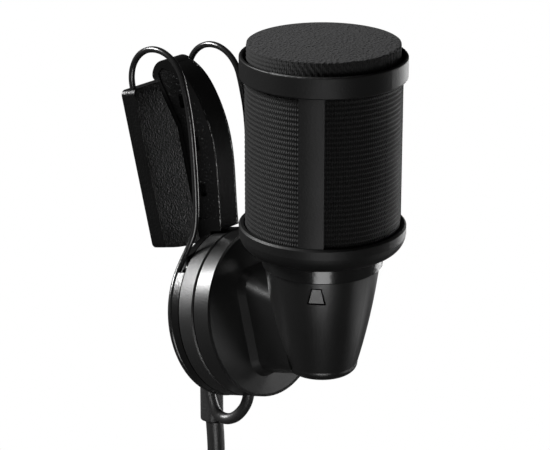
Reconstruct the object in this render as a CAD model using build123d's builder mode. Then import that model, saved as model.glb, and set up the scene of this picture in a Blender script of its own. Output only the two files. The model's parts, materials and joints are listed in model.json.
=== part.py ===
from build123d import *
from math import cos, pi, radians, sin, tan
import os

# A lavalier microphone on a sprung clip, in millimetres.
# The origin is the middle of the gap that grips the cloth, +Z is up along the microphone,
# and +X runs from the clip to the microphone.
os.makedirs("parts", exist_ok=True)

# driving dimensions
lean = 14.0  # the clip leans back from the microphone's axis by this angle
gripToPivot = 14.0  # down the clip, from the middle of the grip to the swivel's axis
gripDepth = 0.9  # from the middle of the gap to the back face of the base
headAhead = 10.84  # the microphone's axis, ahead of the swivel
neckAbove = 7.12  # the bottom of the neck band, above the swivel

cageRadius = 6.95
lowRingRadius = 7.02
pillarSet = 0.165  # the pillars stand back from the rings by this much
cageWall = 0.33
ringLow = 3.75  # top of the lower ring
ringHigh = 16.39  # bottom of the upper ring
cageTop = 18.25
pillarWidth = 2.1
pillarTurn = -60.0  # direction of the first pillar about the microphone's axis
floorLow = 1.4
floorHigh = 2.4
stemRadius = 3.6
stemBore = 2.8
fit = 0.02  # play between pieces that are fixed to each other
sleeveInner = 6.22
linerInner = 5.95
padRadius = 6.45
padTop = 19.4
bandRadius = 5.1
hookTurn = -57.6  # direction of the snap hook and its window

discRadius = 7.4
baseThick = 1.34
baseStep = 0.6  # the part of the base's rim that is cut back for the spring wire
frictionBack = 1.36
frictionFront = 3.0
discBack = 3.22
discFront = 4.8
screwRadius = 1.0
swivelPlay = 0.05

wireRadius = 0.275
wireSide = 3.55  # each leg of the spring, to the side of the arm
wireRim = 7.2  # radius of the wire round the base
archRadius = 2.95  # the wire's arch over the arm and the jaw plate
wireLevel = 0.3  # how far the wire round the base stands in front of the base's back
legBack = -2.15  # level of the legs that enter the plate
legFront = 3.85  # level of the legs in front of the arm

plateHalf = 4.05
plateFront = -1.68
plateBack = -3.18
plateLow = 7.0  # corners of the plate's lower end
plateTip = 6.3  # middle of its lower end
plateHigh = 21.0
armHalf = 1.25
bossLow = -5.6  # lower end of the bosses on the base's back

leadRadius = 0.5
cordRadius = 0.8
coilRadius = 9.0  # middle of the coil's turns
plugRadius = 1.75

# frames of the clip and of the microphone
faceNormal = Vector(cos(radians(lean)), 0, sin(radians(lean)))
clipUp = Vector(-sin(radians(lean)), 0, cos(radians(lean)))
pivot = faceNormal * gripDepth - clipUp * gripToPivot
headBase = pivot + Vector(headAhead, 0, neckAbove)
# stack: sketches on the discs, x across, y up the clip, z from the clip to the microphone
stack = Plane(origin=pivot, x_dir=(0, 1, 0), z_dir=faceNormal)
# side: outlines of the clip seen from its side, x from clip to microphone, y up the clip
side = Plane(origin=pivot, x_dir=faceNormal, z_dir=(0, -1, 0))
head = Plane(origin=headBase, x_dir=(1, 0, 0), z_dir=(0, 0, 1))
headSide = Plane(origin=headBase, x_dir=(1, 0, 0), z_dir=(0, -1, 0))
micAxis = Axis(headBase, (0, 0, 1))
swivelAxis = Axis(pivot, faceNormal)


def outline(plane, *points):
    """A flat face through corners given in the plane's own x and y."""
    with BuildSketch(plane) as flat:
        with BuildLine():
            Polyline(*points, close=True)
        make_face()
    return flat.sketch


def at(across, up, out):
    """A point of the clip: across it, up it, and out from its back face."""
    return stack.from_local_coords(Vector(across, up, out))


def save(piece, name):
    """Names a finished piece and writes it."""
    piece.part.label = name
    export_step(piece.part, "parts/" + name + ".step")


def easedRadii(points):
    """For each corner of a route, the arc that its two runs leave room for."""
    radii = []
    for before, here, after in zip(points, points[1:], points[2:]):
        runIn = here - before
        runOut = after - here
        halfTurn = radians(runIn.get_angle(runOut)) / 2
        radii.append(0.45 * min(runIn.length, runOut.length) / tan(halfTurn))
    return radii


def routed(points, radius, name, bends=None):
    """A round tube along straight runs joined by tangent arcs."""
    corners = [Vector(p) for p in points]
    radii = bends or easedRadii(corners)
    with BuildPart() as tube:
        with BuildLine() as path:
            FilletPolyline(*corners, radius=radii)
        with BuildSketch(Plane(origin=path.line @ 0, z_dir=path.line % 0)):
            Circle(radius)
        sweep(path=path.line)
    section = pi * radius**2
    length = path.wire().length
    share = tube.part.volume / (section * length)
    print(name, "length", round(length, 2), "volume share", round(share, 4))
    print("  radii", [round(r, 2) for r in radii])
    return tube.part


# ---- head: cage, covers and capsule ----

with BuildPart() as cage:
    # lower ring, bowl and floor
    with BuildSketch(headSide):
        with BuildLine():
            Line((stemRadius + fit, floorLow), (5.2, floorLow))
            ThreePointArc((5.2, floorLow), (6.5, 1.85), (lowRingRadius, 2.9))
            Line((lowRingRadius, 2.9), (lowRingRadius, ringLow - 0.15))
            Line((lowRingRadius, ringLow - 0.15), (lowRingRadius - 0.15, ringLow))
            Line((lowRingRadius - 0.15, ringLow), (cageRadius - cageWall, ringLow))
            Line((cageRadius - cageWall, ringLow), (cageRadius - cageWall, floorHigh))
            Line((cageRadius - cageWall, floorHigh), (stemRadius + fit, floorHigh))
            Line((stemRadius + fit, floorHigh), (stemRadius + fit, floorLow))
        make_face()
    # upper ring
    with BuildSketch(headSide):
        with Locations((cageRadius - cageWall / 2, (ringHigh + cageTop) / 2)):
            RectangleRounded(cageWall, cageTop - ringHigh, cageWall * 0.45)
    revolve(axis=micAxis)
    # pillars
    with BuildSketch(head.offset(ringLow - 0.5)):
        Circle(cageRadius - pillarSet)
        Circle(cageRadius - cageWall, mode=Mode.SUBTRACT)
        with PolarLocations(cageRadius, 3, pillarTurn):
            Rectangle(2, pillarWidth, mode=Mode.INTERSECT)
    extrude(amount=ringHigh - ringLow + 1)
save(cage, "cage")

with BuildPart() as stem:
    # flange on the cage's floor, tube down into the holder, and the snap hook in its window
    revolve(outline(headSide, (stemBore, -2.2), (stemRadius, -2.2), (stemRadius, floorHigh + fit),
                    (5.9, floorHigh + fit), (5.9, 3.12), (stemBore, 3.12)), axis=micAxis)
    with BuildSketch(Plane(origin=headBase + Vector(0, 0, -1.2), x_dir=(0, 0, 1),
                           z_dir=(cos(radians(hookTurn)), sin(radians(hookTurn)), 0)).offset(stemRadius - 0.3)):
        Trapezoid(1.42, 1.34, 77, rotation=-90)
    extrude(amount=1.32, taper=3)
save(stem, "stem")

with BuildPart() as neckBand:
    with BuildSketch(head):
        Circle(bandRadius)
        Circle(stemRadius + fit, mode=Mode.SUBTRACT)
    extrude(amount=floorLow - fit)
    rim = neckBand.edges().filter_by(GeomType.CIRCLE).sort_by(SortBy.RADIUS)[-2:]
    chamfer(rim, 0.12)
save(neckBand, "neck_band")

with BuildPart() as meshLiner:
    with BuildSketch(head.offset(3.14)):
        Circle(sleeveInner - fit)
        Circle(linerInner, mode=Mode.SUBTRACT)
    extrude(amount=14.3)
save(meshLiner, "mesh_liner")

with BuildPart() as sleeve:
    with BuildSketch(head.offset(floorHigh + fit)):
        Circle(cageRadius - cageWall - fit)
        Circle(sleeveInner, mode=Mode.SUBTRACT)
    extrude(amount=15.0)
save(sleeve, "fabric_sleeve")

with BuildPart() as topPad:
    # pad that closes the top of the sleeve, a little crowned
    revolve(outline(headSide, (0, 17.5), (padRadius, 17.5), (padRadius, padTop - 0.2),
                    (padRadius - 0.1, padTop - 0.06), (padRadius - 0.3, padTop), (3.2, padTop + 0.12),
                    (0, padTop + 0.16)), axis=micAxis)
save(topPad, "top_pad")

with BuildPart() as capsule:
    # metal can with a sound port in its face
    with BuildSketch(head.offset(8.9)):
        Circle(4.85)
    extrude(amount=5.9)
    fillet(capsule.edges().sort_by(Axis.Z)[-1], 0.4)
    with BuildSketch(head.offset(14.8)):
        Circle(1.1)
    extrude(amount=-0.5, mode=Mode.SUBTRACT)
save(capsule, "capsule")

with BuildPart() as capsuleBoard:
    with BuildSketch(head.offset(8.1)):
        Circle(4.5)
    extrude(amount=0.78)
save(capsuleBoard, "capsule_board")

with BuildPart() as capsuleFelt:
    with BuildSketch(head.offset(14.82)):
        Circle(4.2)
    extrude(amount=0.6)
save(capsuleFelt, "capsule_felt")

with BuildPart() as cushion:
    # rubber ring with two lips, between the capsule and the liner
    revolve(outline(headSide, (4.87, 9.3), (5.2, 9.3), (5.93, 9.7), (5.93, 10.5), (5.3, 10.8), (5.3, 12.2),
                    (5.93, 12.5), (5.93, 13.3), (5.2, 13.7), (4.87, 13.7)), axis=micAxis)
save(cushion, "capsule_cushion")

with BuildPart() as leadWires:
    # two insulated wires from the board down to the lead's clamp
    for across in (-0.95, -0.25):
        with BuildSketch(head.offset(-5.9)):
            with Locations((-0.9, across)):
                Circle(0.22)
        extrude(amount=13.98)
save(leadWires, "capsule_wires")

# ---- holder: two half shells of a cup, a swivel disc and the web between them ----

leadRoute = [(-3.0, -7.6, 3.3), (-3.0, -6.1, 3.95), (-2.85, -4.6, 4.3), (-2.1, -3.4, 5.7),
             (-1.3, -2.9, 7.6), (-0.7, -2.7, 9.7)]

with BuildPart() as holder:
    # swivel disc with a shallow raised flank, and the web that reaches the cup
    with BuildSketch(stack.offset(discBack)):
        Circle(discRadius)
    extrude(amount=discFront - discBack)
    with BuildSketch(stack.offset(discFront - 0.05)):
        Circle(discRadius - 0.1)
    with BuildSketch(stack.offset(5.45)):
        with Locations((0, -0.35)):
            RectangleRounded(7.6, 9.7, 1.9)
    with BuildSketch(stack.offset(6.15)):
        with Locations((0, -0.4)):
            RectangleRounded(6.95, 8.9, 1.6)
    with BuildSketch(stack.offset(9.2)):
        with Locations((0, -1.15)):
            RectangleRounded(6.4, 7.45, 1.3)
    loft(ruled=True)
    # cup
    with BuildSketch(headSide):
        with BuildLine():
            Line((0, 0), (4.85, 0))
            ThreePointArc((4.85, 0), (4.15, -4.4), (3.1, -8.8))
            ThreePointArc((3.1, -8.8), (2.87, -9.42), (2.3, -9.65))
            Line((2.3, -9.65), (0, -9.65))
            Line((0, -9.65), (0, 0))
        make_face()
    revolve(axis=micAxis)
    # inside of the cup, with room above for the stem
    revolve(outline(headSide, (0, 1), (4.15, 1), (4.15, 0), (2.15, -8.7), (0, -8.7)), axis=micAxis,
            mode=Mode.SUBTRACT)
    # bore for the screw, recess for the washer and pocket for the nut
    with BuildSketch(stack.offset(discBack)):
        Circle(screwRadius + swivelPlay)
    extrude(amount=3.4, mode=Mode.SUBTRACT)
    with BuildSketch(stack.offset(discBack)):
        Circle(2.7)
    extrude(amount=0.45, mode=Mode.SUBTRACT)
    with BuildSketch(stack.offset(4.9)):
        Circle(2.0)
    extrude(amount=1.7, mode=Mode.SUBTRACT)
    # window for the stem's snap hook
    with BuildSketch(Plane(origin=headBase + Vector(0, 0, -1.2), x_dir=(0, 0, 1),
                           z_dir=(cos(radians(hookTurn)), sin(radians(hookTurn)), 0)).offset(3)):
        Trapezoid(1.6, 1.54, 77, rotation=-90)
    extrude(amount=3, mode=Mode.SUBTRACT)
leadChannel = routed([at(*p) for p in leadRoute], leadRadius + 0.03, "lead channel")
with BuildPart() as shell:
    add(holder.part - leadChannel)

with BuildPart() as holderLeft:
    add(shell.part)
    split(bisect_by=Plane.XZ, keep=Keep.TOP)
save(holderLeft, "holder_left_shell")

with BuildPart() as holderRight:
    add(shell.part)
    split(bisect_by=Plane.XZ, keep=Keep.BOTTOM)
save(holderRight, "holder_right_shell")

with BuildPart() as leadClamp:
    with BuildSketch(Plane(origin=headBase + Vector(-0.75, -0.65, -6.9))):
        RectangleRounded(1.9, 2.1, 0.3)
    extrude(amount=0.98)
save(leadClamp, "lead_clamp")

# ---- swivel ----

with BuildPart() as frictionDisc:
    with BuildSketch(stack.offset(frictionBack)):
        Circle(discRadius)
        Circle(screwRadius + fit, mode=Mode.SUBTRACT)
    extrude(amount=frictionFront - frictionBack)
    chamfer(frictionDisc.edges().filter_by(GeomType.CIRCLE).sort_by(SortBy.RADIUS)[-2:], 0.1)
save(frictionDisc, "friction_disc")

with BuildPart() as waveWasher:
    with BuildSketch(stack.offset(3.3)):
        Circle(2.4)
        Circle(1.2, mode=Mode.SUBTRACT)
    extrude(amount=0.25)
save(waveWasher, "wave_washer")

with BuildPart() as swivelScrew:
    with BuildSketch(stack.offset(0.05)):
        Circle(2.0)
    extrude(amount=0.65)
    with BuildSketch(stack.offset(0.7)):
        Circle(screwRadius)
    extrude(amount=5.6)
    with BuildSketch(stack.offset(0.05)):
        Rectangle(0.4, 3.2)
    extrude(amount=0.35, mode=Mode.SUBTRACT)
save(swivelScrew, "swivel_screw")

with BuildPart() as lockNut:
    with BuildSketch(stack.offset(5.05)):
        RegularPolygon(1.8, 6)
        Circle(screwRadius, mode=Mode.SUBTRACT)
    extrude(amount=1.1)
save(lockNut, "lock_nut")

# ---- clip ----

bootMiddle = Vector(4.0, -1.6, -18.0)  # top of the boot
armRecess = [(0.35, 8.7), (2.3, 8.7), (2.95, 12.6), (3.2, 15.6), (2.75, 18.6), (1.85, 20.6), (0.6, 21.85),
             (-0.55, 22.25), (-1.1, 21.8), (-1.05, 21.3), (0.35, 17.1)]

with BuildPart() as clipBase:
    # base disc, its rim cut back for the wire
    with BuildSketch(stack):
        Circle(wireRim - wireRadius - fit)
    extrude(amount=baseThick)
    with BuildSketch(stack.offset(baseStep)):
        Circle(discRadius)
    extrude(amount=baseThick - baseStep)
    # arm that rises from the disc and curls over the jaw plate
    with BuildSketch(side.offset(-armHalf)):
        with BuildLine():
            Polyline((-0.1, 17.0), (-0.1, 4.0), (1.34, 4.0), (1.34, 7.6), (2.5, 7.6))
            Spline((2.5, 7.6), (3.35, 12.6), (3.62, 15.6), (3.15, 18.8), (2.15, 21.1), (0.75, 22.45))
            Spline((0.75, 22.45), (-0.6, 22.85), (-1.55, 22.2), (-1.8, 21.45), (-1.5, 21.15))
            Line((-1.5, 21.15), (-0.1, 17.0))
        make_face()
    extrude(amount=2 * armHalf)
    # the arm's sides are recessed, with three small pockets in each
    for face in (-armHalf, armHalf):
        extrude(outline(side.offset(face), *armRecess), amount=0.12, both=True, mode=Mode.SUBTRACT)
        with BuildSketch(side.offset(face)):
            with Locations((1.35, 11.3), (1.6, 15.4), (1.0, 19.2)):
                RectangleRounded(0.75, 1.25, 0.2)
        extrude(amount=0.5, both=True, mode=Mode.SUBTRACT)
    # notches where the wire's legs leave the rim
    with BuildSketch(stack.offset(baseStep)):
        with Locations((-5.0, 5.75), (5.0, 5.75)):
            Circle(0.8)
    extrude(amount=baseThick - baseStep, mode=Mode.SUBTRACT)
    # bosses on the back, for the lead and for the boot
    with BuildSketch(stack):
        with Locations((-2.9, bossLow + 1.4)):
            RectangleRounded(2.1, 2.8, 0.5)
    extrude(amount=-1.15)
    with BuildSketch(stack):
        with Locations((bootMiddle.Y, bossLow + 1.4)):
            RectangleRounded(2.5, 2.8, 0.6)
    extrude(amount=-2.75)
    with BuildSketch(Plane(origin=bootMiddle + Vector(0, 0, fit))):
        RectangleRounded(1.8 + 2 * fit, 1.8 + 2 * fit, 0.6)
    extrude(amount=-3, mode=Mode.SUBTRACT)
    # bore and recess for the screw
    with BuildSketch(stack.offset(-1)):
        Circle(screwRadius + fit)
    extrude(amount=3, mode=Mode.SUBTRACT)
    with BuildSketch(stack):
        Circle(2.05)
    extrude(amount=0.7, mode=Mode.SUBTRACT)
save(clipBase, "clip_base")

with BuildPart() as jawPlate:
    with BuildSketch(stack.offset(plateFront)) as plateShape:
        with BuildLine():
            Polyline((-plateHalf, plateLow), (-plateHalf, plateHigh), (plateHalf, plateHigh), (plateHalf, plateLow))
            ThreePointArc((plateHalf, plateLow), (0, plateTip), (-plateHalf, plateLow))
        make_face()
        fillet(plateShape.vertices(), 0.5)
    extrude(amount=plateBack - plateFront)
    with BuildSketch(Plane(origin=at(0, plateHigh, legBack), x_dir=(0, 1, 0), z_dir=clipUp)):
        with Locations((-wireSide, 0), (wireSide, 0)):
            Circle(wireRadius + 0.04)
    extrude(amount=-1.9, mode=Mode.SUBTRACT)
save(jawPlate, "jaw_plate")

# spring wire: one leg down from the plate, round the rim and up again
legNear = [(-wireSide, 19.2, legBack), (-wireSide, 24.22, legBack), (-wireSide, 24.22, legFront),
           (-wireSide, 18.0, legFront), (-wireSide, 12.8, 3.0), (-wireSide, 7.6, 1.75)]
legFar = [(wireSide, 7.6, 1.75), (wireSide, 12.6, 3.0), (wireSide, 17.1, legFront),
          (wireSide, 23.18, legFront), (wireSide, 23.18, legBack), (wireSide, 19.2, legBack)]
rimStep = 30
rimCorner = wireRim / cos(radians(rimStep / 2))
rimPoints = []
for turn in range(45, 330, rimStep):
    rimPoints.append((-rimCorner * sin(radians(turn)), rimCorner * cos(radians(turn)), wireLevel))
springRoute = [at(*p) for p in legNear + rimPoints + legFar]
springBends = easedRadii(springRoute)
springBends[:2] = [archRadius, archRadius]
springBends[-2:] = [archRadius, archRadius]
springWire = routed(springRoute, wireRadius, "spring wire", springBends)
with BuildPart() as clipSpring:
    add(springWire)
save(clipSpring, "clip_spring")

# ---- lead across the swivel, boot and cable ----

loopRoute = [(-3.3, bossLow - 0.05, -0.6), (-3.3, -7.8, -0.6), (-3.2, -8.85, 0.4), (-3.1, -8.6, 1.9)]
pigtail = routed([at(*p) for p in loopRoute + leadRoute], leadRadius, "pigtail lead")
with BuildPart() as pigtailLead:
    add(pigtail)
save(pigtailLead, "pigtail_lead")

bootEnd = -23.4
with BuildPart() as cableBoot:
    with BuildSketch(Plane(origin=bootMiddle)):
        RectangleRounded(1.8, 1.8, 0.6)
    extrude(amount=bootEnd - bootMiddle.Z)
    fillet(cableBoot.edges().sort_by(Axis.Z)[:8], 0.25)
save(cableBoot, "cable_boot")

coilMiddle = Vector(9.0, -1.0, -41.0)
cordRoute = [(4.3, -1.6, bootEnd), (4.55, -1.6, -26.0), (4.2, -1.5, -29.4), (2.8, -1.3, -33.0)]
with BuildPart() as cable:
    add(routed(cordRoute, cordRadius, "cable"))
save(cable, "cable")

coilWide = 8.0
coilDeep = 7.2
coilAxis = Axis(coilMiddle, (0, 1, 0))
with BuildPart() as coil:
    with BuildSketch(Plane(origin=coilMiddle, x_dir=(1, 0, 0), z_dir=(0, 0, 1))):
        with Locations((coilRadius, 0)):
            RectangleRounded(coilDeep, coilWide, 2.6)
    revolve(axis=coilAxis)
save(coil, "cable_coil")

with BuildPart() as tie:
    with BuildSketch(Plane(origin=coilMiddle, x_dir=(1, 0, 0), z_dir=(0, 0, 1))):
        with Locations((coilRadius, 0)):
            RectangleRounded(coilDeep + 1.2, coilWide + 1.2, 3.2)
            RectangleRounded(coilDeep, coilWide, 2.6, mode=Mode.SUBTRACT)
    revolve(axis=coilAxis, revolution_arc=20)
save(tie, "cable_tie")

# ---- plug, hanging from the coil's tail ----

tailX = coilMiddle.X - coilRadius
plugTop = -58.0
plugPlane = Plane(origin=(tailX, -1.6, plugTop), x_dir=(1, 0, 0), z_dir=(0, 0, -1))
plugSide = Plane(origin=(tailX, -1.6, plugTop), x_dir=(1, 0, 0), z_dir=(0, -1, 0))
plugAxis = Axis((tailX, -1.6, plugTop), (0, 0, 1))
with BuildPart() as tail:
    add(routed([(tailX, -1.3, -45.0), (tailX - 0.1, -1.5, -51.0), (tailX, -1.6, plugTop)],
               cordRadius, "tail"))
save(tail, "cable_tail")

with BuildPart() as plugBoot:
    revolve(outline(plugSide, (0, 0), (1.25, 0), (1.9, -8.0), (2.6, -8.0), (2.6, -9.5), (0, -9.5)), axis=plugAxis)
save(plugBoot, "plug_boot")

with BuildPart() as plugBarrel:
    revolve(outline(plugSide, (0, -9.5), (3.4, -9.5), (3.75, -10.0), (3.75, -19.0), (3.3, -19.0),
                    (3.3, -25.0), (0, -25.0)), axis=plugAxis)
save(plugBarrel, "plug_barrel")

with BuildPart() as lockRing:
    # turns on the barrel's nose, threaded inside its free end
    revolve(outline(plugSide, (3.35, -19.15), (4.4, -19.15), (4.4, -27.5), (3.0, -27.5), (3.0, -25.15),
                    (3.35, -25.15)), axis=plugAxis)
    chamfer(lockRing.edges().filter_by(GeomType.CIRCLE).sort_by(SortBy.RADIUS)[-2:], 0.3)
save(lockRing, "locking_ring")

with BuildPart() as plugSleeve:
    with BuildSketch(plugPlane.offset(25)):
        Circle(plugRadius)
    extrude(amount=6.5)
save(plugSleeve, "plug_sleeve")

with BuildPart() as plugInsulators:
    for start in (31.5, 35.0):
        with BuildSketch(plugPlane.offset(start)):
            Circle(plugRadius)
        extrude(amount=0.7)
save(plugInsulators, "plug_insulators")

with BuildPart() as plugRing:
    with BuildSketch(plugPlane.offset(32.2)):
        Circle(plugRadius)
    extrude(amount=2.8)
save(plugRing, "plug_ring")

with BuildPart() as plugTip:
    revolve(outline(plugSide, (0, -35.7), (plugRadius, -35.7), (plugRadius, -36.0), (1.2, -36.9), (1.65, -37.9),
                    (1.55, -38.3), (0.35, -39.3), (0, -39.3)), axis=plugAxis)
save(plugTip, "plug_tip")
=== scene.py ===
import json
import math
import bpy
import numpy as np
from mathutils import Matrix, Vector


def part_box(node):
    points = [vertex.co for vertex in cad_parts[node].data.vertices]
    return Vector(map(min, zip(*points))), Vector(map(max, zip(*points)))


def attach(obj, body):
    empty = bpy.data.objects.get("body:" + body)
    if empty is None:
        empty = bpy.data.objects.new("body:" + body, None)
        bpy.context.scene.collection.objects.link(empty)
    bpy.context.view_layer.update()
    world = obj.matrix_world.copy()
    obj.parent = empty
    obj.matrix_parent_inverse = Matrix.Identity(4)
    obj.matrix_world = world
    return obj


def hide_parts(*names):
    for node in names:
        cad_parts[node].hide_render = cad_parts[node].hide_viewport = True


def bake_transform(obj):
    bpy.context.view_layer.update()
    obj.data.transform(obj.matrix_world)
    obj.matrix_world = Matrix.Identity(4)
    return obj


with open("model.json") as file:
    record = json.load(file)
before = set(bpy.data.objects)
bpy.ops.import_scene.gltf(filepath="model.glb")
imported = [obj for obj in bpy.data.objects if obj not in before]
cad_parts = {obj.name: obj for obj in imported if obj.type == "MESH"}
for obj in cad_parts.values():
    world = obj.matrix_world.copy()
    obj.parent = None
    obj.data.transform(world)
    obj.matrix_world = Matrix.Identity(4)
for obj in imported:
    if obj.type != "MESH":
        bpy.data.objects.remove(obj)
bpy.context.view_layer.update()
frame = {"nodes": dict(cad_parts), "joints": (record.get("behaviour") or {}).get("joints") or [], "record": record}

nodes = frame["nodes"]
mm = 0.001
jointAhead = 2.0  # the swivel joint's place, in front of the back of the clip's base, in millimetres

# the clip's own directions, from the swivel's axis
swivel = next(j for j in frame["joints"] if j["name"] == "head_swivel")
faceNormal = Vector(swivel["axis"]).normalized()
clipUp = Vector((-faceNormal.z, 0, faceNormal.x))
pivot = Vector(swivel["pos_m"]) - faceNormal * jointAhead * mm
bandLow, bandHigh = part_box("neck_band")
headBase = Vector(((bandLow.x + bandHigh.x) / 2, (bandLow.y + bandHigh.y) / 2, bandLow.z))
plugLow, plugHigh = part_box("locking_ring")
plugMiddle = (plugLow + plugHigh) / 2


def onClip(across, up, out):
    # a place on the clip in millimetres: across it, up it, and out from its back
    return pivot + (faceNormal * out + clipUp * up + Vector((0, across, 0))) * mm


def onHead(angle, radius, height):
    # a place on the head: degrees round its axis, and millimetres from the axis and up from the band
    turn = math.radians(angle)
    return headBase + Vector((radius * math.cos(turn), radius * math.sin(turn), height)) * mm


# ---- shared shader groups ----

def newGroup(name, inputs, outputs):
    group = bpy.data.node_groups.new(name, "ShaderNodeTree")
    for label, kind, value in inputs:
        socket = group.interface.new_socket(name=label, in_out="INPUT", socket_type=kind)
        if value is not None:
            socket.default_value = value
    for label, kind in outputs:
        group.interface.new_socket(name=label, in_out="OUTPUT", socket_type=kind)
    return group, group.nodes.new("NodeGroupInput"), group.nodes.new("NodeGroupOutput")


def addNode(tree, kind, values=None, **settings):
    node = tree.nodes.new(kind)
    for key, value in settings.items():
        setattr(node, key, value)
    for key, value in (values or {}).items():
        node.inputs[key].default_value = value
    return node


def buildGrainGroup():
    # fine moulded grain: a height, a mask of its high spots (the finishes paint these lighter, as painted glints
    # on the raised grain), and a broad uneven sheen
    group, start, end = newGroup(
        "mouldGrain",
        [("Vector", "NodeSocketVector", None), ("Size", "NodeSocketFloat", 4000.0),
         ("GlintSpots", "NodeSocketFloat", 0.62)],
        [("Height", "NodeSocketFloat"), ("GlintSpots", "NodeSocketFloat"), ("Sheen", "NodeSocketFloat")])
    link = group.links.new
    fine = addNode(group, "ShaderNodeTexNoise", {"Detail": 3.0, "Roughness": 0.65})
    cells = addNode(group, "ShaderNodeTexVoronoi")
    broad = addNode(group, "ShaderNodeTexNoise", {"Scale": 320.0, "Detail": 2.0})
    both = addNode(group, "ShaderNodeMath", {1: 0.5}, operation="MULTIPLY_ADD")
    spots = addNode(group, "ShaderNodeMapRange", {"To Min": 0.0, "To Max": 1.0})
    upper = addNode(group, "ShaderNodeMath", {1: 0.12}, operation="ADD")
    for texture in (fine, cells):
        link(start.outputs["Vector"], texture.inputs["Vector"])
        link(start.outputs["Size"], texture.inputs["Scale"])
    link(start.outputs["Vector"], broad.inputs["Vector"])
    link(cells.outputs["Distance"], both.inputs[0])
    link(fine.outputs["Fac"], both.inputs[2])
    link(fine.outputs["Fac"], spots.inputs["Value"])
    link(start.outputs["GlintSpots"], spots.inputs["From Min"])
    link(start.outputs["GlintSpots"], upper.inputs[0])
    link(upper.outputs[0], spots.inputs["From Max"])
    link(both.outputs[0], end.inputs["Height"])
    link(spots.outputs["Result"], end.inputs["GlintSpots"])
    link(broad.outputs["Fac"], end.inputs["Sheen"])
    return group


bandTurn = 0.3142  # one band of the wave texture at scale 1


def buildStitchGroup():
    # yarn lines across the ribs, on a UV map scaled to millimetres; the height also sets the fabric's colour, as
    # painted shade in the grooves
    group, start, end = newGroup(
        "yarnStitch",
        [("Vector", "NodeSocketVector", None), ("Pitch", "NodeSocketFloat", 0.2),
         ("Waver", "NodeSocketFloat", 0.6)],
        [("Height", "NodeSocketFloat"), ("Fuzz", "NodeSocketFloat")])
    link = group.links.new
    turns = addNode(group, "ShaderNodeMath", {0: bandTurn}, operation="DIVIDE")
    wave = addNode(group, "ShaderNodeTexWave", {"Detail": 1.0, "Detail Scale": 2.0}, wave_type="BANDS",
                   bands_direction="X", wave_profile="SIN")
    fuzz = addNode(group, "ShaderNodeTexNoise", {"Scale": 14.0, "Detail": 3.0, "Roughness": 0.7})
    mixed = addNode(group, "ShaderNodeMath", {1: 0.55}, operation="MULTIPLY_ADD")
    link(start.outputs["Pitch"], turns.inputs[1])
    link(turns.outputs[0], wave.inputs["Scale"])
    link(start.outputs["Vector"], wave.inputs["Vector"])
    link(start.outputs["Waver"], wave.inputs["Distortion"])
    link(start.outputs["Vector"], fuzz.inputs["Vector"])
    link(fuzz.outputs["Fac"], mixed.inputs[0])
    link(wave.outputs["Fac"], mixed.inputs[2])
    link(mixed.outputs[0], end.inputs["Height"])
    link(fuzz.outputs["Fac"], end.inputs["Fuzz"])
    return group


mouldGrain = buildGrainGroup()
yarnStitch = buildStitchGroup()


# ---- materials, one for each finish of the record ----

# colour is each finish's base; tint is the lighter colour painted on the grain's raised spots, as painted glints
finishes = {
    "cage_metal": dict(colour=0.004, tint=0.01, rough=0.48, spread=0.1, grain=5200, depth=0.012,
                       specular=0.2),
    "moulded": dict(colour=0.006, tint=0.012, rough=0.31, spread=0.12, grain=6200, depth=0.006),
    "gloss_band": dict(colour=0.006, tint=0.01, rough=0.19, spread=0.08, grain=3000, depth=0.006),
    "matte_disc": dict(colour=0.008, tint=0.022, rough=0.38, spread=0.12, grain=9500, depth=0.022),
    "gloss_clip": dict(colour=0.003, tint=0.006, rough=0.24, spread=0.1, grain=4200, depth=0.008,
                       sideGrain=9.0, specular=0.3),
    "grained_plate": dict(colour=0.002, tint=0.009, rough=0.32, spread=0.14, grain=5400, depth=0.034,
                          specular=0.24),
    "spring_wire": dict(colour=0.009, tint=0.016, rough=0.22, spread=0.08, grain=3600, depth=0.01),
    "cord_sheath": dict(colour=0.011, tint=0.018, rough=0.4, spread=0.1, grain=5000, depth=0.02),
    "cord_boot": dict(colour=0.012, tint=0.02, rough=0.46, spread=0.1, grain=4600, depth=0.03),
    "cushion_rubber": dict(colour=0.02, tint=0.03, rough=0.6, spread=0.1, grain=4000, depth=0.03),
    "plug_black": dict(colour=0.015, tint=0.022, rough=0.3, spread=0.1, grain=4200, depth=0.01, metal=0.6),
    "black_screw": dict(colour=0.02, tint=0.03, rough=0.32, spread=0.12, grain=3500, depth=0.02, metal=0.6),
    "insulator": dict(colour=0.012, tint=0.02, rough=0.3, spread=0.08, grain=3000, depth=0.01),
    "wire_sheath": dict(colour=(0.42, 0.02, 0.015), tint=(0.5, 0.04, 0.03), rough=0.4, spread=0.1,
                        grain=4000, depth=0.01),
    "board": dict(colour=(0.012, 0.09, 0.04), tint=(0.03, 0.14, 0.06), rough=0.35, spread=0.1, grain=900,
                  depth=0.02),
    "capsule_metal": dict(colour=0.55, tint=0.66, rough=0.32, spread=0.1, grain=2500, depth=0.01, metal=1.0),
    "bright_steel": dict(colour=0.5, tint=0.62, rough=0.3, spread=0.12, grain=2600, depth=0.012, metal=1.0),
    "mesh_steel": dict(colour=0.3, tint=0.42, rough=0.38, spread=0.1, grain=3000, depth=0.05, metal=1.0),
    "gold_contact": dict(colour=(0.75, 0.52, 0.2), tint=(0.86, 0.66, 0.32), rough=0.22, spread=0.1,
                         grain=2400, depth=0.008, metal=1.0),
}


def asColour(value):
    return (value, value, value, 1) if isinstance(value, float) else (*value, 1)


def newMaterial(name):
    material = bpy.data.materials.new(name)
    material.use_nodes = True
    tree = material.node_tree
    return material, tree, tree.nodes["Principled BSDF"]


armSides = {"from": 1.05, "to": 1.16, "above": 7.5}  # millimetres across the arm, and up from the pivot


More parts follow.
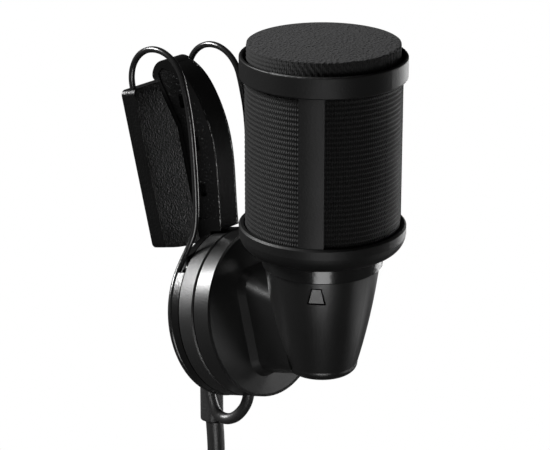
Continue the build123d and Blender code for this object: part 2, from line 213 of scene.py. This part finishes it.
def sideGrain(tree, place, height, gain):
    # the arm's recessed sides are grained, while its front and the disc stay smooth
    link = tree.links.new
    split = addNode(tree, "ShaderNodeSeparateXYZ")
    side = addNode(tree, "ShaderNodeMath", operation="ABSOLUTE")
    inner = addNode(tree, "ShaderNodeMath", {1: armSides["to"] * mm}, operation="LESS_THAN")
    above = addNode(tree, "ShaderNodeMath", {1: pivot.z + armSides["above"] * mm}, operation="GREATER_THAN")
    outer = addNode(tree, "ShaderNodeMath", {1: armSides["from"] * mm}, operation="GREATER_THAN")
    both = addNode(tree, "ShaderNodeMath", operation="MULTIPLY")
    mask = addNode(tree, "ShaderNodeMath", operation="MULTIPLY")
    more = addNode(tree, "ShaderNodeMath", {1: gain, 2: 1.0}, operation="MULTIPLY_ADD")
    final = addNode(tree, "ShaderNodeMath", operation="MULTIPLY")
    link(place.outputs["Object"], split.inputs[0])
    link(split.outputs["Y"], side.inputs[0])
    link(side.outputs[0], inner.inputs[0])
    link(side.outputs[0], outer.inputs[0])
    link(split.outputs["Z"], above.inputs[0])
    link(inner.outputs[0], both.inputs[0])
    link(outer.outputs[0], both.inputs[1])
    link(both.outputs[0], mask.inputs[0])
    link(above.outputs[0], mask.inputs[1])
    link(mask.outputs[0], more.inputs[0])
    link(height, final.inputs[0])
    link(more.outputs[0], final.inputs[1])
    return final.outputs[0]


def smoothFinish(name, look):
    material, tree, shader = newMaterial(name)
    link = tree.links.new
    place = addNode(tree, "ShaderNodeTexCoord")
    grain = addNode(tree, "ShaderNodeGroup", node_tree=mouldGrain)
    grain.inputs["Size"].default_value = look["grain"]
    colour = addNode(tree, "ShaderNodeMix", {"A": asColour(look["colour"]), "B": asColour(look["tint"])},
                     data_type="RGBA")
    rough = addNode(tree, "ShaderNodeMapRange", {"To Min": look["rough"] - look["spread"] / 2,
                                                 "To Max": look["rough"] + look["spread"] / 2})
    bump = addNode(tree, "ShaderNodeBump", {"Strength": 1.0, "Distance": look["depth"] * mm})
    link(place.outputs["Object"], grain.inputs["Vector"])
    # the grain's raised spots take the lighter tint: painted glints on the grain
    link(grain.outputs["GlintSpots"], colour.inputs["Factor"])
    link(grain.outputs["Sheen"], rough.inputs["Value"])
    height = grain.outputs["Height"]
    if "sideGrain" in look:
        height = sideGrain(tree, place, height, look["sideGrain"])
    link(height, bump.inputs["Height"])
    link(colour.outputs["Result"], shader.inputs["Base Color"])
    link(rough.outputs["Result"], shader.inputs["Roughness"])
    link(bump.outputs["Normal"], shader.inputs["Normal"])
    shader.inputs["Metallic"].default_value = look.get("metal", 0.0)
    shader.inputs["Specular IOR Level"].default_value = look.get("specular", 0.5)
    return material


fabricSpread = 0.08
fabricSpecular = 0.13
# colour is the painted shade in the stitch grooves, tint the colour of the raised yarn
fabrics = {
    "ribbed_fabric": dict(colour=0.001, tint=0.011, rough=0.6, pitch=0.2, waver=0.8, depth=0.07, sheen=0.03),
    "pad_fabric": dict(colour=0.004, tint=0.016, rough=0.8, pitch=0.17, waver=3.0, depth=0.03, sheen=0.04),
    "felt": dict(colour=0.02, tint=0.05, rough=0.9, pitch=0.3, waver=4.0, depth=0.06, sheen=0.1),
    "tie_strap": dict(colour=0.012, tint=0.035, rough=0.75, pitch=0.35, waver=0.6, depth=0.08, sheen=0.15),
}


def fabricFinish(name, look, source="UV"):
    material, tree, shader = newMaterial(name)
    link = tree.links.new
    place = addNode(tree, "ShaderNodeTexCoord")
    scale = addNode(tree, "ShaderNodeMapping", {"Scale": (1000, 1000, 1000)})
    stitch = addNode(tree, "ShaderNodeGroup", node_tree=yarnStitch)
    stitch.inputs["Pitch"].default_value = look["pitch"]
    stitch.inputs["Waver"].default_value = look["waver"]
    colour = addNode(tree, "ShaderNodeMix", {"A": asColour(look["colour"]), "B": asColour(look["tint"])},
                     data_type="RGBA")
    bump = addNode(tree, "ShaderNodeBump", {"Strength": 1.0, "Distance": look["depth"] * mm})
    rough = addNode(tree, "ShaderNodeMapRange", {"To Min": look["rough"] - fabricSpread,
                                                 "To Max": look["rough"] + fabricSpread})
    link(place.outputs[source], scale.inputs["Vector"])
    link(scale.outputs["Vector"], stitch.inputs["Vector"])
    # the colour follows the stitch height: painted shade in the grooves, lighter on the raised yarn
    link(stitch.outputs["Height"], colour.inputs["Factor"])
    link(stitch.outputs["Height"], bump.inputs["Height"])
    link(stitch.outputs["Fuzz"], rough.inputs["Value"])
    link(colour.outputs["Result"], shader.inputs["Base Color"])
    link(bump.outputs["Normal"], shader.inputs["Normal"])
    link(rough.outputs["Result"], shader.inputs["Roughness"])
    shader.inputs["Sheen Weight"].default_value = look["sheen"]
    shader.inputs["Specular IOR Level"].default_value = fabricSpecular
    return material


materials = {name: smoothFinish(name, look) for name, look in finishes.items()}
for name, look in fabrics.items():
    materials[name] = fabricFinish(name, look)
materials["feltInside"] = fabricFinish("feltInside", fabrics["felt"], "Object")

# every carried-over node takes the finish that the record names for it, except that felt and pad fabric nodes take
# the felt look on object coordinates
slotOf = {part["node"]: part["material_slot"] for part in frame["record"]["subparts"]}
for name, node in nodes.items():
    slot = "feltInside" if slotOf[name] in ("felt", "pad_fabric") else slotOf[name]
    node.data.materials.clear()
    node.data.materials.append(materials[slot])
print("materials made:", len(materials))


# ---- making and finishing pieces ----

def asPiece(name, mesh, slotName, smooth=True):
    piece = bpy.data.objects.new(name, mesh)
    bpy.context.scene.collection.objects.link(piece)
    if smooth:
        mesh.polygons.foreach_set("use_smooth", [True] * len(mesh.polygons))
    mesh.materials.clear()
    mesh.materials.append(materials[slotName])
    return piece


def meshOf(name, points, faces, uvs=None):
    mesh = bpy.data.meshes.new(name)
    mesh.from_pydata([tuple(p) for p in points], [], faces)
    if uvs is not None:
        layer = mesh.uv_layers.new(name="UVMap")
        loops = np.array([uv for face in uvs for uv in face], np.float32)
        layer.data.foreach_set("uv", loops.ravel())
    mesh.validate()
    return mesh


def turned(name, rings, closed=False):
    # a skin through rings of equal count, each a list of points, with a UV map in metres
    count = len(rings[0])
    points = [p for ring in rings for p in ring]
    heights = [0.0]
    for low, high in zip(rings, rings[1:]):
        heights.append(heights[-1] + (high[0] - low[0]).length)
    around = [0.0]
    widest = max(rings, key=lambda ring: (ring[0] - ring[count // 2]).length)
    for index in range(count):
        around.append(around[-1] + (widest[(index + 1) % count] - widest[index]).length)
    faces, uvs = [], []
    for row in range(len(rings) - 1):
        for index in range(count):
            after = (index + 1) % count
            faces.append((row * count + index, row * count + after, (row + 1) * count + after,
                          (row + 1) * count + index))
            uvs.append([(around[index], heights[row]), (around[index + 1], heights[row]),
                        (around[index + 1], heights[row + 1]), (around[index], heights[row + 1])])
    if closed:
        faces.append(tuple(range(count - 1, -1, -1)))
        uvs.append([(0, 0)] * count)
        top = (len(rings) - 1) * count
        faces.append(tuple(range(top, top + count)))
        uvs.append([(0, 0)] * count)
    return meshOf(name, points, faces, uvs)


def plainMesh(piece, name):
    # the modified piece as a plain mesh, and the first object gone
    graph = bpy.context.evaluated_depsgraph_get()
    mesh = bpy.data.meshes.new_from_object(piece.evaluated_get(graph))
    bpy.data.objects.remove(piece)
    mesh.name = name
    return mesh


def splineObject(name, points, radius=0.0, sides=3, steps=4):
    curve = bpy.data.curves.new(name, "CURVE")
    curve.dimensions = "3D"
    spline = curve.splines.new("NURBS")
    spline.points.add(len(points) - 1)
    for place, point in zip(spline.points, points):
        place.co = (*point, 1)
    spline.order_u = 3
    spline.use_endpoint_u = True
    spline.resolution_u = steps
    curve.bevel_depth = radius
    curve.bevel_resolution = sides
    curve.use_fill_caps = True
    piece = bpy.data.objects.new(name, curve)
    bpy.context.scene.collection.objects.link(piece)
    return piece


# ---- camera ----

view = {"azimuth": 39.3, "elevation": 20.0, "distance": 0.190, "lens": 145.75,
        "target": (0.009966, 0, -0.003998)}


def placeCamera():
    turn, rise = math.radians(view["azimuth"]), math.radians(view["elevation"])
    back = Vector((math.sin(turn) * math.cos(rise), -math.cos(turn) * math.cos(rise), math.sin(rise)))
    data = bpy.data.cameras.new("studioCamera")
    data.lens = view["lens"]
    data.sensor_width = 36
    data.clip_start = 0.01
    data.clip_end = 20
    camera = bpy.data.objects.new("studioCamera", data)
    bpy.context.scene.collection.objects.link(camera)
    camera.location = Vector(view["target"]) + back * view["distance"]
    camera.rotation_euler = back.to_track_quat("Z", "Y").to_euler()
    bpy.context.scene.camera = camera


placeCamera()
print("camera placed")


# ---- cable: out of the boot, round the coil, down to the plug ----

cord = {
    "radius": 0.8, "exit": (4.3, -1.6, -23.4),
    "start": [(4.3, -1.6, -23.4), (4.55, -1.6, -26.0), (4.2, -1.5, -29.4), (2.8, -1.3, -33.0),
              (1.0, -1.15, -36.8)],
    "end": [(0.0, -1.3, -46.0), (-0.1, -1.5, -51.0), (0.0, -1.6, -55.0), (0.0, -1.6, -58.0)],
    "coilMiddle": (9.0, -1.0, -41.0), "pointsPerTurn": 16,
    # where each turn lies in the bundle: outward from its middle, and along the coil's axis
    "lanes": [(-0.8, 0.0), (-2.4, 0.8), (-2.4, -0.8), (-0.8, -1.6), (-0.8, 1.6), (0.8, 0.8), (0.8, -0.8),
              (-2.4, -2.4), (-0.8, -3.2), (0.8, -2.4), (2.4, -1.6), (2.4, 0.0), (2.4, 1.6), (0.8, 2.4),
              (-0.8, 3.2), (-2.4, 2.4), (0.8, 3.8), (2.3, 3.0), (2.4, -3.1), (0.8, -3.9)],
    "middleRadius": 9.15, "length": 1.19,
    # how unevenly it lies, and the share of a turn after which it eases to the next lane
    "seed": 7, "stray": 0.05, "easeFrom": 0.6,
}


def coilPoints():
    # the turns go down the left side first, and ease from lane to lane near the top of each turn
    lanes, perTurn = cord["lanes"], cord["pointsPerTurn"]
    middle = Vector(cord["coilMiddle"])
    stretch = 2 / (1 + math.cos(math.pi / perTurn))
    rng = np.random.default_rng(cord["seed"])
    points = []
    for step in range(len(lanes) * perTurn + 1):
        turn = min(step / perTurn, len(lanes) - 1e-6)
        index = int(turn)
        into = turn - index
        lane = lanes[index]
        if into > cord["easeFrom"] and index + 1 < len(lanes):
            share = (into - cord["easeFrom"]) / (1 - cord["easeFrom"])
            share = share * share * (3 - 2 * share)
            following = lanes[index + 1]
            lane = [a + (b - a) * share for a, b in zip(lane, following)]
        angle = math.pi + 2 * math.pi * turn
        radius = (cord["middleRadius"] + lane[0] + rng.normal(0, cord["stray"])) * stretch
        points.append(middle + Vector((radius * math.cos(angle), lane[1] + rng.normal(0, cord["stray"]),
                                       radius * math.sin(angle))))
    return points


cordPoints = [Vector(p) for p in cord["start"]] + coilPoints() + [Vector(p) for p in cord["end"]]
cable = splineObject("cableRun", [p * mm for p in cordPoints], cord["radius"] * mm, 3, 4)
cable.data.materials.append(materials["cord_sheath"])
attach(cable, "clip")
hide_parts("cable", "cable_coil", "cable_tail")


# the strap that holds the coil: a woven band round the bundle, its end lapped over
strap = {"angleFrom": -11, "angleTo": 11, "half": (3.75, 4.45), "squareness": 2.9, "thick": 0.42,
         "edgeShare": 0.75, "inside": 0.02, "around": 96, "along": 14, "lap": 0.38, "lapFrom": 0.02, "lapTo": 0.2}


def strapSection():
    # a rounded rectangle's outline, as a superellipse
    points = []
    power = strap["squareness"]
    for index in range(strap["around"]):
        turn = 2 * math.pi * index / strap["around"]
        c, s = math.cos(turn), math.sin(turn)
        size = (abs(c) ** power + abs(s) ** power) ** (-1 / power)
        points.append((strap["half"][0] * size * c, strap["half"][1] * size * s))
    return points


def strapMesh():
    middle = Vector(cord["coilMiddle"])
    rings = []
    angles = np.radians(np.linspace(strap["angleFrom"], strap["angleTo"], strap["along"]))
    last = len(angles) - 1
    outside = [(angle, strap["thick"] * (1 if 0 < index < last else strap["edgeShare"]))
               for index, angle in enumerate(angles)]
    inside = [(angle, strap["inside"]) for angle in angles[::-1]]
    for angle, lift in [(angles[0], 0.0)] + outside + [(angles[-1], 0.0)] + inside:
        ring = []
        for index, (out, along) in enumerate(strapSection()):
            share = index / strap["around"]
            lapped = strap["lapFrom"] < share < strap["lapTo"] and lift > strap["inside"]
            lap = strap["lap"] if lapped else 0.0
            size = 1 + (lift + lap) / math.hypot(out, along)
            radius = cord["middleRadius"] + out * size
            place = Vector((radius * math.cos(angle), along * size, radius * math.sin(angle)))
            ring.append((middle + place) * mm)
        rings.append(ring)
    return turned("coilStrap", rings)


coilStrap = asPiece("coilStrap", strapMesh(), "tie_strap")
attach(coilStrap, "clip")
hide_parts("cable_tie")

print("cable laid")


# ---- lights, floor and surroundings ----

lights = {
    "keyLeft": dict(direction=(-0.70, -0.46, 0.54), distance=0.6, size=(0.26, 0.20), power=9.5),
    "lowFront": dict(direction=(0.59, -0.70, -0.40), distance=0.17, size=(0.08, 0.11), power=0.17),
    "backRight": dict(direction=(0.06, 0.95, -0.27), distance=0.26, size=(0.17, 0.15), power=0.5),
    "rightFill": dict(direction=(0.95, 0.30, 0.04), distance=0.5, size=(0.12, 0.2), power=0.1),
    "lowRight": dict(direction=(0.50, 0.50, -0.80), distance=0.15, size=(0.12, 0.10), power=0.05),
}
studio = {"aim": (0.012, 0, -0.002), "floorLevel": -0.0985, "floorHalf": 3.0, "floorSeen": 1.0, "floorDim": 0.06,
          "skySeen": 1.0, "skyDim": 0.045}


def placeLights():
    aim = Vector(studio["aim"])
    for name, light in lights.items():
        data = bpy.data.lights.new(name, "AREA")
        data.shape = "RECTANGLE"
        data.size, data.size_y = light["size"]
        data.energy = light["power"]
        lamp = bpy.data.objects.new(name, data)
        bpy.context.scene.collection.objects.link(lamp)
        direction = Vector(light["direction"]).normalized()
        lamp.location = aim + direction * light["distance"]
        lamp.rotation_euler = direction.to_track_quat("Z", "Y").to_euler()


def placeFloor():
    half, level = studio["floorHalf"], studio["floorLevel"]
    mesh = meshOf("studioFloor", [(-half, -half, level), (half, -half, level), (half, half, level),
                                  (-half, half, level)], [(0, 1, 2, 3)])
    floor = bpy.data.objects.new("studioFloor", mesh)
    bpy.context.scene.collection.objects.link(floor)
    material, tree, shader = newMaterial("paleFloor")
    shader.inputs["Base Color"].default_value = (0.8, 0.8, 0.8, 1)
    shader.inputs["Roughness"].default_value = 0.9
    glow = addNode(tree, "ShaderNodeEmission", {"Color": (1, 1, 1, 1), "Strength": studio["floorSeen"]})
    dim = addNode(tree, "ShaderNodeEmission", {"Color": (1, 1, 1, 1), "Strength": studio["floorDim"]})
    ray = addNode(tree, "ShaderNodeLightPath")
    mix = addNode(tree, "ShaderNodeMixShader")
    tree.links.new(ray.outputs["Is Camera Ray"], mix.inputs["Fac"])
    tree.links.new(dim.outputs[0], mix.inputs[1])
    tree.links.new(glow.outputs[0], mix.inputs[2])
    tree.links.new(mix.outputs[0], tree.nodes["Material Output"].inputs["Surface"])
    mesh.materials.append(material)


def lightSurroundings():
    world = bpy.data.worlds.new("studioWorld")
    bpy.context.scene.world = world
    world.use_nodes = True
    tree = world.node_tree
    seen = tree.nodes["Background"]
    seen.inputs["Color"].default_value = (1, 1, 1, 1)
    seen.inputs["Strength"].default_value = studio["skySeen"]
    dim = addNode(tree, "ShaderNodeBackground", {"Color": (1, 1, 1, 1), "Strength": studio["skyDim"]})
    ray = addNode(tree, "ShaderNodeLightPath")
    mix = addNode(tree, "ShaderNodeMixShader")
    tree.links.new(ray.outputs["Is Camera Ray"], mix.inputs["Fac"])
    tree.links.new(dim.outputs[0], mix.inputs[1])
    tree.links.new(seen.outputs[0], mix.inputs[2])
    tree.links.new(mix.outputs[0], tree.nodes["World Output"].inputs["Surface"])
    bpy.context.scene.view_settings.view_transform = "Standard"


placeLights()
placeFloor()
lightSurroundings()
print("studio lit")


# ---- fabric sleeve: a knit tube whose level ribs are made by Geometry Nodes ----

sleeve = {"radius": 6.5, "low": 3.2, "high": 17.35, "ribPitch": 0.41, "ribDepth": 0.11, "around": 150,
          "rowsPerRib": 6, "loose": 0.02}


def geometryTree(name, inputs):
    tree = bpy.data.node_groups.new(name, "GeometryNodeTree")
    tree.interface.new_socket(name="Geometry", in_out="INPUT", socket_type="NodeSocketGeometry")
    sockets = {}
    for label, kind, value in inputs:
        socket = tree.interface.new_socket(name=label, in_out="INPUT", socket_type=kind)
        if value is not None:
            socket.default_value = value
        sockets[label] = socket.identifier
    tree.interface.new_socket(name="Geometry", in_out="OUTPUT", socket_type="NodeSocketGeometry")
    return tree, tree.nodes.new("NodeGroupInput"), tree.nodes.new("NodeGroupOutput"), sockets


def finishTree(tree, geometry, end, material):
    realize = addNode(tree, "GeometryNodeRealizeInstances")
    paint = addNode(tree, "GeometryNodeSetMaterial")
    paint.inputs["Material"].default_value = material
    tree.links.new(geometry, realize.inputs[0])
    tree.links.new(realize.outputs[0], paint.inputs["Geometry"])
    tree.links.new(paint.outputs[0], end.inputs["Geometry"])


def ribTree():
    tree, start, end, sockets = geometryTree("levelRibs", [
        ("Pitch", "NodeSocketFloat", sleeve["ribPitch"] * mm),
        ("Depth", "NodeSocketFloat", sleeve["ribDepth"] * mm / 2),
        ("Loose", "NodeSocketFloat", sleeve["loose"] * mm)])
    link = tree.links.new
    place = addNode(tree, "GeometryNodeInputPosition")
    split = addNode(tree, "ShaderNodeSeparateXYZ")
    phase = addNode(tree, "ShaderNodeMath", operation="DIVIDE")
    angle = addNode(tree, "ShaderNodeMath", {1: 2 * math.pi}, operation="MULTIPLY")
    wave = addNode(tree, "ShaderNodeMath", operation="COSINE")
    lift = addNode(tree, "ShaderNodeMath", {1: 1.0}, operation="SUBTRACT")
    half = addNode(tree, "ShaderNodeMath", operation="MULTIPLY")
    noise = addNode(tree, "ShaderNodeTexNoise", {"Scale": 900.0, "Detail": 2.0})
    centred = addNode(tree, "ShaderNodeMath", {1: 0.5}, operation="SUBTRACT")
    rough = addNode(tree, "ShaderNodeMath", operation="MULTIPLY")
    total = addNode(tree, "ShaderNodeMath", operation="ADD")
    normal = addNode(tree, "GeometryNodeInputNormal")
    push = addNode(tree, "ShaderNodeVectorMath", operation="SCALE")
    move = addNode(tree, "GeometryNodeSetPosition")
    link(place.outputs[0], split.inputs[0])
    link(place.outputs[0], noise.inputs["Vector"])
    link(split.outputs["Z"], phase.inputs[0])
    link(start.outputs["Pitch"], phase.inputs[1])
    link(phase.outputs[0], angle.inputs[0])
    link(angle.outputs[0], wave.inputs[0])
    link(wave.outputs[0], lift.inputs[0])
    link(lift.outputs[0], half.inputs[0])
    link(start.outputs["Depth"], half.inputs[1])
    link(noise.outputs["Fac"], centred.inputs[0])
    link(centred.outputs[0], rough.inputs[0])
    link(start.outputs["Loose"], rough.inputs[1])
    link(half.outputs[0], total.inputs[0])
    link(rough.outputs[0], total.inputs[1])
    link(normal.outputs[0], push.inputs[0])
    link(total.outputs[0], push.inputs["Scale"])
    link(start.outputs["Geometry"], move.inputs["Geometry"])
    link(push.outputs[0], move.inputs["Offset"])
    finishTree(tree, move.outputs[0], end, materials["ribbed_fabric"])
    return tree, sockets


def circleAt(radius, height, count):
    return [onHead(360 * index / count, radius, height) for index in range(count)]


def makeSleeve():
    rows = int((sleeve["high"] - sleeve["low"]) / sleeve["ribPitch"] * sleeve["rowsPerRib"])
    heights = np.linspace(sleeve["low"], sleeve["high"], rows)
    rings = [circleAt(sleeve["radius"], height, sleeve["around"]) for height in heights]
    outer = asPiece("sleeveBlank", turned("sleeveBlank", rings), "ribbed_fabric")
    tree, sockets = ribTree()
    ribs = outer.modifiers.new("ribs", "NODES")
    ribs.node_group = tree
    ribs[sockets["Pitch"]] = sleeve["ribPitch"] * mm
    ribs[sockets["Depth"]] = sleeve["ribDepth"] * mm / 2
    piece = asPiece("knitSleeve", plainMesh(outer, "knitSleeve"), "ribbed_fabric")
    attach(piece, "head")
    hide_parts("fabric_sleeve")


makeSleeve()
print("sleeve knitted")


# ---- top pad: a crowned disc of foam in a knit skin, its side wall gathered into the ring ----

pad = {"radius": 6.42, "wallLow": 17.55, "wallHigh": 19.3, "around": 640, "wallRows": 30, "crown": 0.16,
       "fine": 0.23, "slant": 0.42, "roll": 0.34, "depth": 0.075, "skirt": 0.5, "wallEnd": 0.12,
       # the directions where the wall's folds change, in degrees, and how softly
       "uprightFrom": -18, "levelFrom": -84, "levelTo": 150, "uprightEase": 7, "levelEase": 9,
       # the rounded edge: in from the wall, and up from its top; then the top's rings, as shares of its radius
       "shoulder": ((0.03, -0.06), (0.1, -0.015), (0.22, 0.0)),
       "topRings": (0.93, 0.85, 0.75, 0.6, 0.45, 0.3, 0.15, 0.03)}
# the darker foam colour is painted shade in the foam's pits; the lighter one is the raised fibres
foam = {"cells": 4000.0, "fibres": 3200.0, "pitShade": 0.001, "light": (0.024, 0.024, 0.025), "depth": 0.2}


def eased(value):
    return 1 / (1 + math.exp(value))


def wallRibs(angle, height):
    # fine upright ribs on one side, slanted ones in front, level rolls on the other side
    turn = (angle + 180) % 360 - 180
    upright = eased((pad["uprightFrom"] - turn) / pad["uprightEase"]) * eased(
        (turn - pad["levelTo"]) / pad["uprightEase"])
    level = eased((turn - pad["levelFrom"]) / pad["levelEase"]) + eased((pad["levelTo"] - turn) / pad["levelEase"])
    slanted = max(0.0, 1 - upright - level)
    along = math.radians(turn) * pad["radius"]
    fine = math.cos(2 * math.pi * along / pad["fine"])
    slant = math.cos(2 * math.pi * (along * 0.8 + height * 0.6) / pad["slant"])
    roll = math.cos(2 * math.pi * (height - 0.035 * (turn + 140) / 10) / pad["roll"])
    return upright * fine * 0.75 + slanted * slant + level * roll * 1.25


def makePad():
    count = pad["around"]
    angles = [360 * index / count for index in range(count)]
    wall = pad["radius"] - pad["depth"]
    rings = [[onHead(a, pad["radius"] - pad["skirt"], pad["wallLow"]) for a in angles]]
    for height in np.linspace(pad["wallLow"], pad["wallHigh"] - pad["wallEnd"], pad["wallRows"]):
        rings.append([onHead(a, wall + pad["depth"] * (wallRibs(a, height) - 1) / 2, height) for a in angles])
    for inset, rise in pad["shoulder"]:
        rings.append([onHead(a, wall - inset, pad["wallHigh"] + rise) for a in angles])
    edge = wall - pad["shoulder"][-1][0]
    for share in pad["topRings"]:
        height = pad["wallHigh"] + pad["crown"] * (1 - share ** 2)
        rings.append([onHead(a, edge * share, height) for a in angles])
    return turned("topPad", rings, closed=True)


def padTopFinish():
    # the foam top reads finer than the gathered wall
    material, tree, shader = newMaterial("foamTop")
    link = tree.links.new
    place = addNode(tree, "ShaderNodeTexCoord")
    cells = addNode(tree, "ShaderNodeTexVoronoi", {"Scale": foam["cells"]})
    noise = addNode(tree, "ShaderNodeTexNoise", {"Scale": foam["fibres"], "Detail": 4.0, "Roughness": 0.7})
    relief = addNode(tree, "ShaderNodeMath", {1: 0.8}, operation="MULTIPLY_ADD")
    colour = addNode(tree, "ShaderNodeMix", {"A": asColour(foam["pitShade"]), "B": asColour(foam["light"])},
                     data_type="RGBA")
    bump = addNode(tree, "ShaderNodeBump", {"Strength": 1.0, "Distance": foam["depth"] * mm})
    link(place.outputs["Object"], cells.inputs["Vector"])
    link(place.outputs["Object"], noise.inputs["Vector"])
    link(cells.outputs["Distance"], relief.inputs[0])
    link(noise.outputs["Fac"], relief.inputs[2])
    # the colour follows the fibre noise that also raises the bump: painted shade in the pits, lighter on the
    # raised fibres
    link(noise.outputs["Fac"], colour.inputs["Factor"])
    link(relief.outputs[0], bump.inputs["Height"])
    link(colour.outputs["Result"], shader.inputs["Base Color"])
    link(bump.outputs["Normal"], shader.inputs["Normal"])
    shader.inputs["Roughness"].default_value = 0.9
    shader.inputs["Sheen Weight"].default_value = 0.04
    shader.inputs["Specular IOR Level"].default_value = 0.3
    return material


topPad = asPiece("topPad", makePad(), "pad_fabric")
topPad.data.materials.append(padTopFinish())
edgeLevel = (headBase.z / mm + pad["wallHigh"] - 0.05) * mm
for face in topPad.data.polygons:
    if face.center.z > edgeLevel:
        face.material_index = 1
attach(topPad, "head")
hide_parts("top_pad")
print("top pad made")


# ---- spring wire: down into the plate, over the arm and round the disc's rim ----

wire = {"radius": 0.275, "side": 3.55, "rim": 7.2, "rimSlack": 1.006, "rimLevel": 0.3, "back": -2.15,
        "front": 3.85, "nearTop": 24.22, "farTop": 23.18, "archSteps": 12, "archRise": 1.02,
        # up and out along each leg, from the arch to where it leaves the arm, then the bend on to the rim
        "nearLeg": [(19.4, 3.86), (18.0, 3.8), (16.0, 3.55), (12.8, 3.0), (10.0, 2.4)],
        "farLeg": [(18.4, 3.86), (17.2, 3.8), (15.4, 3.55), (12.6, 3.0), (10.0, 2.4)],
        "toRim": [(3.62, 8.4, 1.9), (3.95, 7.2, 1.3)]}


def archPoints(top, side):
    # half a round bend over the arm, from the plate's side to the front
    middle = (wire["back"] + wire["front"]) / 2
    reach = (wire["front"] - wire["back"]) / 2
    points = []
    for step in range(wire["archSteps"] + 1):
        turn = math.pi * (1 - step / wire["archSteps"])
        up = top - reach + reach * math.sin(turn) * wire["archRise"]
        points.append((side, up, middle + reach * math.cos(turn)))
    return points


def wirePoints():
    near, far, back = -wire["side"], wire["side"], wire["back"]
    points = [(near, 19.2, back), (near, 20.4, back)] + archPoints(wire["nearTop"], near)
    points += [(near, up, out) for up, out in wire["nearLeg"]]
    points += [(-across, up, out) for across, up, out in wire["toRim"]]
    for turn in range(45, 316, 15):
        angle = math.radians(turn)
        points.append((-wire["rim"] * wire["rimSlack"] * math.sin(angle),
                       wire["rim"] * wire["rimSlack"] * math.cos(angle), wire["rimLevel"]))
    points += wire["toRim"][::-1] + [(far, up, out) for up, out in wire["farLeg"][::-1]]
    points += archPoints(wire["farTop"], far)[::-1] + [(far, 20.0, back), (far, 19.2, back)]
    return [onClip(*p) for p in points]


def makeWire():
    line = splineObject("wireLine", wirePoints(), wire["radius"] * mm, 3, 5)
    piece = asPiece("springWire", plainMesh(line, "springWire"), "spring_wire")
    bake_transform(piece)
    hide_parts("clip_spring")


makeWire()
print("spring wire bent")


# ---- thin lead across the swivel ----

lead = {"radius": 0.5,
        "route": [(-3.3, -5.65, -0.6), (-3.3, -7.0, -0.62), (-3.28, -8.3, -0.45), (-3.2, -8.95, 0.35),
                  (-3.12, -8.9, 1.4), (-3.05, -8.3, 2.45), (-3.0, -7.4, 3.35), (-3.0, -6.1, 3.95),
                  (-2.85, -4.6, 4.3), (-2.1, -3.4, 5.7), (-1.3, -2.9, 7.6), (-0.7, -2.7, 9.7)]}
leadLine = splineObject("leadLine", [onClip(*p) for p in lead["route"]], lead["radius"] * mm, 4, 8)
pigtail = asPiece("leadLoop", plainMesh(leadLine, "leadLoop"), "cord_sheath")
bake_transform(pigtail)
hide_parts("pigtail_lead")
print("lead laid")


# ---- knurl on the locking ring, by Geometry Nodes ----

knurl = {"radius": 4.36, "count": 48, "height": 6.6, "width": 0.3, "depth": 0.34}


def knurlTree():
    tree, start, end, sockets = geometryTree("ringKnurl", [
        ("Count", "NodeSocketInt", knurl["count"]), ("Radius", "NodeSocketFloat", knurl["radius"] * mm),
        ("Ridge", "NodeSocketVector", (knurl["depth"] * mm, knurl["width"] * mm, knurl["height"] * mm)),
        ("Middle", "NodeSocketVector", tuple(plugMiddle))])
    link = tree.links.new
    circle = addNode(tree, "GeometryNodeMeshCircle")
    bar = addNode(tree, "GeometryNodeMeshCube")
    place = addNode(tree, "GeometryNodeInstanceOnPoints")
    spin = addNode(tree, "ShaderNodeMath", {0: 2 * math.pi}, operation="DIVIDE")
    order = addNode(tree, "GeometryNodeInputIndex")
    angle = addNode(tree, "ShaderNodeMath", operation="MULTIPLY")
    facing = addNode(tree, "ShaderNodeCombineXYZ")
    move = addNode(tree, "GeometryNodeTransform")
    link(start.outputs["Count"], circle.inputs["Vertices"])
    link(start.outputs["Radius"], circle.inputs["Radius"])
    link(start.outputs["Ridge"], bar.inputs["Size"])
    link(start.outputs["Count"], spin.inputs[1])
    link(order.outputs[0], angle.inputs[0])
    link(spin.outputs[0], angle.inputs[1])
    link(angle.outputs[0], facing.inputs["Z"])
    link(circle.outputs[0], place.inputs["Points"])
    link(bar.outputs["Mesh"], place.inputs["Instance"])
    link(facing.outputs[0], place.inputs["Rotation"])
    link(place.outputs[0], move.inputs["Geometry"])
    link(start.outputs["Middle"], move.inputs["Translation"])
    finishTree(tree, move.outputs[0], end, materials["plug_black"])
    return tree, sockets


def makeKnurl():
    blank = asPiece("knurlBlank", meshOf("knurlBlank", [(0, 0, 0)], []), "plug_black")
    tree, sockets = knurlTree()
    ridges = blank.modifiers.new("knurl", "NODES")
    ridges.node_group = tree
    ridges[sockets["Count"]] = knurl["count"]
    ridges[sockets["Radius"]] = knurl["radius"] * mm
    ridges[sockets["Middle"]] = tuple(plugMiddle)
    piece = asPiece("ringKnurl", plainMesh(blank, "ringKnurl"), "plug_black", smooth=False)
    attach(piece, "plug_ring_body")


makeKnurl()
print("locking ring knurled")
